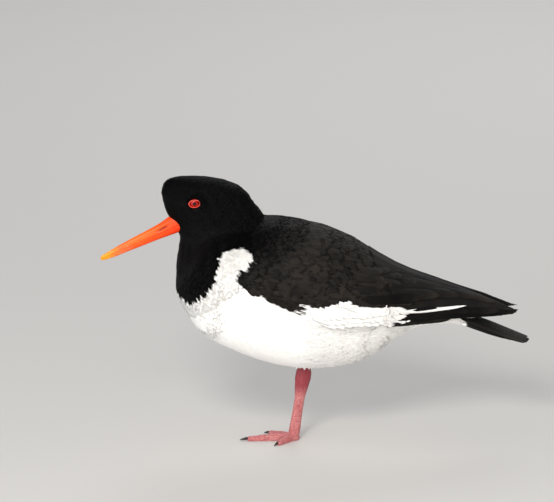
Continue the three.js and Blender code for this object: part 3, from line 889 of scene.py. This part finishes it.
# Twelve feathers, from the outermost pair to the middle one on top.
for rank in range(5, -1, -1):
    for sign in (-1, 1):
        from_middle = sign * (rank + 0.5)
        reach = 79.5 - 0.1 * from_middle**2 - 3 * math.exp(-(from_middle**2))
        aside = 15 * from_middle / 5.5
        tone = 0.6 + 0.2 * sign * (-1) ** rank
        lift = 0.5 - 0.1 * abs(from_middle)
        add_vane(
            fan, tail_surface, (4, 0.6 * aside), (reach, 0.82 * aside), 4.4, lift,
            rise=0.1, blunt=0.11, bow=0.35 * aside, tone=tone,
        )
settle(finish_batch("tail_feathers", fan), flight_keratin, slot="black_plumage")
# The tail coverts are white, so the tail is black only from their ends.
base_under("tail_base", ["tail"], smooth_steps=3, sunk_mm=0.7, dark_from=155)

# %% [markdown]
# ## Bill
#
# The bill is a blade of bone under a sheath of horn, straight, deep at the base and pressed flat
# from side to side, so that it can be driven between the shells of a mussel. Light goes a little
# way into the horn and comes out orange. Two lofts make it, one for each mandible, flat where
# they meet. A nostril slit is pressed into the upper one by moving its points inwards.

# %% Bill shape
BILL_ALONG = np.array([-0.9139, 0, -0.4059])
BILL_UP = np.array([-0.4059, 0, 0.9139])
BILL_LENGTH = 73.5
BILL_IN_FACE = 8  # how far the horn runs on under the feathers
BILL_HALF_DEPTH = 9
GAPE_LINE = -1.0
bill_top = profile((-9, 9.2), (0, 8.9), (10, 6.9), (25, 5.5), (43, 4.4), (60, 2.9), (73.5, 1.2))
bill_floor = profile(
    (-9, -8.2), (1, -7.8), (18, -6.5), (32, -5.8), (47, -5), (63, -4.2), (73.5, -2.9)
)
bill_half_width = profile((-9, 7.2), (0, 6.3), (8, 5), (22, 3.9), (42, 2.9), (60, 2), (73.5, 1.3))


def bump_at(distance, reach, power):
    """1 where the distance is nothing, and falling to nothing past the reach."""
    return np.exp(-((distance / reach) ** power))


def mandible(name, sign):
    """The upper (+1) or lower (-1) half of the bill, a half round section with a flat face."""
    rings, around, flat_steps = 64, 40, 8
    t = -BILL_IN_FACE + (BILL_LENGTH + BILL_IN_FACE) * np.linspace(0, 1, rings)[:, None] ** 0.97
    turn = np.linspace(0, math.pi, around - flat_steps)
    outer = np.stack([np.cos(turn), np.sin(turn)], axis=1)
    inner = np.stack([np.linspace(-1, 1, flat_steps + 2)[1:-1], np.zeros(flat_steps)], axis=1)
    section = np.concatenate([outer, inner])
    tip = np.sqrt(1 - np.clip((t - BILL_LENGTH + 4) / 4, 0, 0.985) ** 2)
    half = bill_half_width(t) * tip
    edge = GAPE_LINE + 0.12 * sign
    reach = (bill_top(t) - edge if sign > 0 else edge - bill_floor(t)) * tip
    side = np.sign(section[:, 0]) * np.abs(section[:, 0]) ** 0.85
    across = half * side
    up = edge + sign * reach * section[:, 1] ** 1.02
    nostril = bump_at(t - 11, 5, 4) * bump_at(up - 3.1 + 0.1 * t, 0.75, 2) * (sign > 0)
    groove = bump_at(t - 20, 16, 4) * bump_at(up - 2.4 * sign, 1.6, 2)
    across = across * (1 - 0.3 * nostril - 0.08 * groove)
    points = BILL_BASE + t[..., None] * BILL_ALONG + up[..., None] * BILL_UP
    points = points + across[..., None] * SIDEWAYS
    piece = closed(piece_from(name, points.reshape(-1, 3), loft_faces(rings, around)))
    store(piece.data, "nostril", np.broadcast_to(nostril, up.shape).ravel())
    store(piece.data, "along", np.broadcast_to(t / BILL_LENGTH, up.shape).ravel())
    store(piece.data, "height", (up / BILL_HALF_DEPTH).ravel())
    return piece


# %% Horn of the bill
def bill_horn():
    """Keratin sheath: orange-red and waxy at the base, worn, scuffed and amber at the tip."""
    material, tree = new_material("bill_horn")
    along = mark(tree, "along")
    where = here(tree)
    shift = maths(tree, "MULTIPLY_ADD", cloud(tree, where, 110.0, 4.0), 0.22, along)
    top = ramp(
        tree, shift,
        (0.05, "#f04202"), (0.28, "#f65400"), (0.6, "#f96802"), (0.82, "#ee6a24"), (1.0, "#f09a06"),
    )
    low = ramp(
        tree, shift,
        (0.05, "#e83602"), (0.35, "#f04804"), (0.66, "#ec541a"), (0.86, "#e66e40"), (1.0, "#ec9a10"),
    )
    # Mixed by height, the lower half is darker and redder than the top: painted shade under the bill.
    horn = mixed(tree, spread(tree, mark(tree, "height"), -0.35, 0.3), low, top)
    # Scuffs run along the bill, thicker towards the tip that it digs with.
    streaks = add(tree, "ShaderNodeMapping", {"Vector": where, "Scale": (1.0, 1.0, 3.0)}).outputs[0]
    scuffs = cloud(tree, streaks, 260.0, 5.0)
    worn = maths(tree, "MULTIPLY", spread(tree, scuffs, 0.63, 0.78), along)
    horn = mixed(tree, worn, horn, colour("#e9a58c"))
    finish_material(
        # The nostril slit is painted dark brown-red: painted shade in its opening.
        tree, Base_Color=mixed(tree, mark(tree, "nostril"), horn, colour("#4a1206")), Roughness=0.42,
        IOR=1.54, Specular_IOR_Level=0.3, Subsurface_Weight=0.2,
        Subsurface_Radius=(0.004, 0.0015, 0.0008), Subsurface_Scale=0.6,
        Normal=relief(tree, scuffs, 0.25, 0.3),
    )
    return material


horn = bill_horn()
settle(mandible("bill_above", 1), horn, "bill_upper", slot="bill_horn")
settle(mandible("bill_below", -1), horn, "bill_lower", slot="bill_horn")

# %% [markdown]
# ## Eyes
#
# A crimson iris round a black pupil, in a raised ring of bare orange-red skin, gives this bird
# its stare. The ball is a whole sphere sunk in its socket, as in life, so it catches the light
# like one. Its colours go by distance from the pupil's middle, with frayed edges.

# %% Eyeballs and rings
EYE_AT = np.array([-89.2, 12.6, 227.2])
EYE_RADIUS = 5.0
RING_HALF_LENGTH = 5.0
RING_HALF_HEIGHT = 3.35
RING_TUBE = 0.5
RING_TILT = math.radians(5)
RING_OUT = 17.1  # from the midline, where it follows the curve of the cheek
ANKLE_RED_AND_SHADE_FROM = (40 * MM, 52 * MM)  # heights between which the leg's pink deepens to dark red at the ankle, partly the joint's own colour and partly painted shade from the belly


def eyeball(name, sign):
    rings, around = 25, 40
    polar = np.linspace(0.001, math.pi - 0.001, rings)[:, None]
    turn = np.linspace(0, 2 * math.pi, around, endpoint=False)[None]
    across = sign * np.cos(polar) + 0 * turn
    ball = [np.sin(polar) * np.cos(turn), across, np.sin(polar) * np.sin(turn)]
    points = EYE_AT * [1, sign, 1] + EYE_RADIUS * np.stack(ball, axis=-1).reshape(-1, 3)
    return closed(piece_from(name, points, loft_faces(rings, around)))


def eye_ring(name, sign):
    steps, around = 64, 14
    turn = np.linspace(0, 2 * math.pi, steps, endpoint=False)[:, None]
    round_tube = np.linspace(0, 2 * math.pi, around, endpoint=False)[None]
    wrinkle = 1 + 0.07 * np.sin(turn * 17) + 0.05 * np.sin(turn * 11 + 1)
    wider = RING_TUBE * wrinkle * np.cos(round_tube)
    depth = 1.25 * RING_TUBE * wrinkle * np.sin(round_tube)
    along = (RING_HALF_LENGTH + wider) * np.cos(turn)
    high = (RING_HALF_HEIGHT + wider) * np.sin(turn)
    px = along * math.cos(RING_TILT) - high * math.sin(RING_TILT)
    pz = along * math.sin(RING_TILT) + high * math.cos(RING_TILT)
    out = RING_OUT - 0.035 * along**2 - 0.03 * high**2 + depth
    points = np.stack([EYE_AT[0] + px, sign * out, EYE_AT[2] + pz], axis=-1).reshape(-1, 3)
    # The tube's last ring is its first one again, so it needs no caps.
    tube = loft_faces(steps + 1, around)[:-2]
    faces = [[corner % len(points) for corner in face] for face in tube]
    return closed(piece_from(name, points, faces))


def iris():
    """A wet eye: crimson iris with frayed edges, black pupil, under a clear coat of tears."""
    material, tree = new_material("wet_iris")
    centre = (EYE_AT[0] * MM, 0, EYE_AT[2] * MM)
    flat = vectors(tree, "MULTIPLY", vectors(tree, "SUBTRACT", here(tree), centre), (1, 0, 1))
    radius = add(tree, "ShaderNodeVectorMath", {0: flat}, operation="LENGTH").outputs["Value"]
    share = maths(tree, "MULTIPLY", radius, 1 / (EYE_RADIUS * MM))
    frayed = maths(tree, "MULTIPLY_ADD", cloud(tree, flat, 900.0, 2.0), 0.06, share)
    rings = ramp(
        tree, frayed,
        (0.0, "#010101"), (0.28, "#020101"), (0.33, "#6a0805"), (0.5, "#b4100a"), (0.74, "#960c08"),
        (0.88, "#240403"),
    )
    finish_material(
        tree, Base_Color=rings, Roughness=0.3, Specular_IOR_Level=0.05,
        Coat_Weight=1.0, Coat_Roughness=0.03, Coat_IOR=1.376,
    )
    return material


def bare_skin(name, pale, deep, groove, cell_mm, roughness=0.5, ankle=None):
    """Bare bird skin: small smooth scales with sunk edges, a little light passing through."""
    material, tree = new_material(name)
    where = here(tree)
    inputs = {"Vector": where, "Scale": 1000 / cell_mm}
    cells = add(tree, "ShaderNodeTexVoronoi", inputs, feature="DISTANCE_TO_EDGE")
    plate = spread(tree, cells.outputs["Distance"], 0.0, 0.16)
    blotched = ramp(tree, cloud(tree, where, 140.0, 3.0), (0.3, deep), (0.7, pale))
    base = mixed(tree, plate, colour(groove), blotched)
    if ankle:
        # Towards the ankle the pink deepens to dark red. This is partly the joint's own colour and
        # partly painted shade from the belly above.
        height = add(tree, "ShaderNodeSeparateXYZ", {0: where}).outputs[2]
        base = mixed(tree, spread(tree, height, *ANKLE_RED_AND_SHADE_FROM, to_high=0.85), base, colour(ankle))
    finish_material(
        tree, Base_Color=base, Roughness=roughness, Subsurface_Weight=0.15,
        Subsurface_Radius=(0.003, 0.001, 0.0006), Subsurface_Scale=0.5,
        Normal=relief(tree, plate, 0.7, 0.3),
    )
    return material


wet_iris = iris()
ring_skin = bare_skin("eye_ring_skin", "#f88070", "#ec4e40", "#c8281c", cell_mm=0.5, roughness=0.35)
for side, sign in SIDES:
    settle(eyeball(f"ball_{side}", sign), wet_iris, f"eye_{side}", slot="eye_red")
    settle(eye_ring(f"ring_{side}", sign), ring_skin, f"eye_ring_{side}", slot="ring_skin")

# %% [markdown]
# ## Legs
#
# The bare leg is stout and coral pink, with small many-sided scales, and the feathers stop just
# above the ankle. The solids have its measured shape, so one smooth wrap over shank and toes
# keeps it and takes away the cuts, and the scales are relief in the material.

# %% Shanks, toes and claws
# The dark red at the ankle is partly the joint's own colour and partly painted shade from the belly
# above.
leg_skin = bare_skin("scaled_leg_skin", "#d58e8b", "#c26e6e", "#9a484e", cell_mm=1.7, ankle="#86202f")
TOES = ("middle", "outer", "inner")
for side, voxel_mm in (("left", 0.5), ("right", 0.6)):
    foot = [f"leg_{side}_shank"] + [f"toe_{side}_{toe}" for toe in TOES]
    leg = wrapped("leg_" + side, foot, voxel_mm, smooth_steps=3, swell_mm=0.15)
    settle(leg, leg_skin, *foot, slot="leg_skin")


def claw_horn():
    """Black horn, polished by sand and greyer where it is worn."""
    material, tree = new_material("claw_horn_black")
    worn = ramp(tree, cloud(tree, here(tree), 500.0, 3.0), (0.3, "#12100f"), (0.75, "#35302c"))
    finish_material(tree, Base_Color=worn, Roughness=0.35)
    return material


black_horn = claw_horn()
claws = [f"claw_left_{toe}" for toe in TOES]
claw_tips = wrapped("claws_left", claws, voxel_mm=0.25, smooth_steps=2, swell_mm=0.05)
settle(claw_tips, black_horn, *claws, slot="claw_horn")

# %% Feathers over the top of the standing leg
LEG_TOP = np.array([11.6, 0, 76.0])
CUFF_RADIUS = 7.5
CUFF_FEATHERS = 22


def leg_cone(down, around):
    """A loose cuff round the top of the leg: distance down it, and distance round it."""
    angle = around / CUFF_RADIUS
    radius = 8.3 - 0.03 * down
    outward = np.stack([np.cos(angle), np.sin(angle), 0.12 + 0 * angle], axis=-1)
    points = LEG_TOP + outward * radius[..., None] - down[..., None] * np.array([0.12, 0, 1])
    return points, outward / np.linalg.norm(outward, axis=-1, keepdims=True), np.ones_like(down)


cuff = defaultdict(list)
jog = jogger(3)
for k in range(CUFF_FEATHERS):
    turn = 2 * math.pi * CUFF_RADIUS * k / CUFF_FEATHERS
    drop = 8.75 + jog(3.5)
    tip = (drop, turn + jog(3))
    add_vane(cuff, leg_cone, (0, turn), tip, 1.6, 0.1 + 0.3 * (k % 3), rise=-0.6, blunt=0.6, dark=0)
settle(finish_batch("leg_cuff", cuff), flight_keratin, slot="white_plumage")

# %% [markdown]
# ## Camera, light and floor
#
# The photo was taken with a long lens from a standing person's height, a few paces off, so the
# camera looks down by 15 degrees and sees the bird almost square on. Soft light from large panels
# models the feathers, and a plain pale floor sets off both the black and the white. The low panel
# stands for light thrown up by the ground, so no eye or bill mirrors it.

# %% Camera
ELEVATION = math.radians(15)
AZIMUTH = math.radians(-5)
DISTANCE = 6.4
LOOK_AT = Vector((-13.6, 0, 177.3)) * MM
level = math.cos(ELEVATION)
back = Vector((level * math.sin(AZIMUTH), -level * math.cos(AZIMUTH), math.sin(ELEVATION)))
camera = bpy.data.objects.new("camera", bpy.data.cameras.new("camera"))
camera.data.lens = 462
camera.data.sensor_width = 36
camera.data.clip_end = 100
camera.location = LOOK_AT + back * DISTANCE
camera.rotation_euler = back.to_track_quat("Z", "Y").to_euler()
bpy.context.scene.collection.objects.link(camera)
bpy.context.scene.camera = camera

# %% Light and floor
def panel(name, where, size, power, tint, mirrored=True):
    light = bpy.data.objects.new(name, bpy.data.lights.new(name, "AREA"))
    light.data.shape = "DISK"
    light.data.size = size
    light.data.energy = power
    light.data.color = colour(tint)[:3]
    light.visible_glossy = mirrored
    light.location = where
    light.rotation_euler = (Vector(where) - LOOK_AT).to_track_quat("Z", "Y").to_euler()
    bpy.context.scene.collection.objects.link(light)


panel("key", (-0.6, -1.9, 1.5), size=0.7, power=31, tint="#fffaf3")
panel("bounce", (0.1, -1.3, 0.12), size=1.2, power=9, tint="#fff8ee", mirrored=False)
panel("fill", (-1.8, -1.7, 0.5), size=1.8, power=22, tint="#f3f6ff")
panel("rim", (0.6, 1.8, 1.5), size=1.2, power=12, tint="#ffffff")
bpy.context.scene.view_settings.view_transform = "Standard"
world = bpy.data.worlds.new("studio")
bpy.context.scene.world = world
world.use_nodes = True
sky = world.node_tree.nodes["Background"].inputs
sky["Color"].default_value = colour("#f2f4f7")
sky["Strength"].default_value = 0.55

far = 9000
corners = [(-far, -far, 0), (far, -far, 0), (far, far, 0), (-far, far, 0)]
floor = piece_from("floor", corners, [(0, 1, 2, 3)])
paper, paper_tree = new_material("matt_studio_paper")
finish_material(paper_tree, Base_Color=colour("#d0cecb"), Roughness=0.9)
floor.data.materials.append(paper)
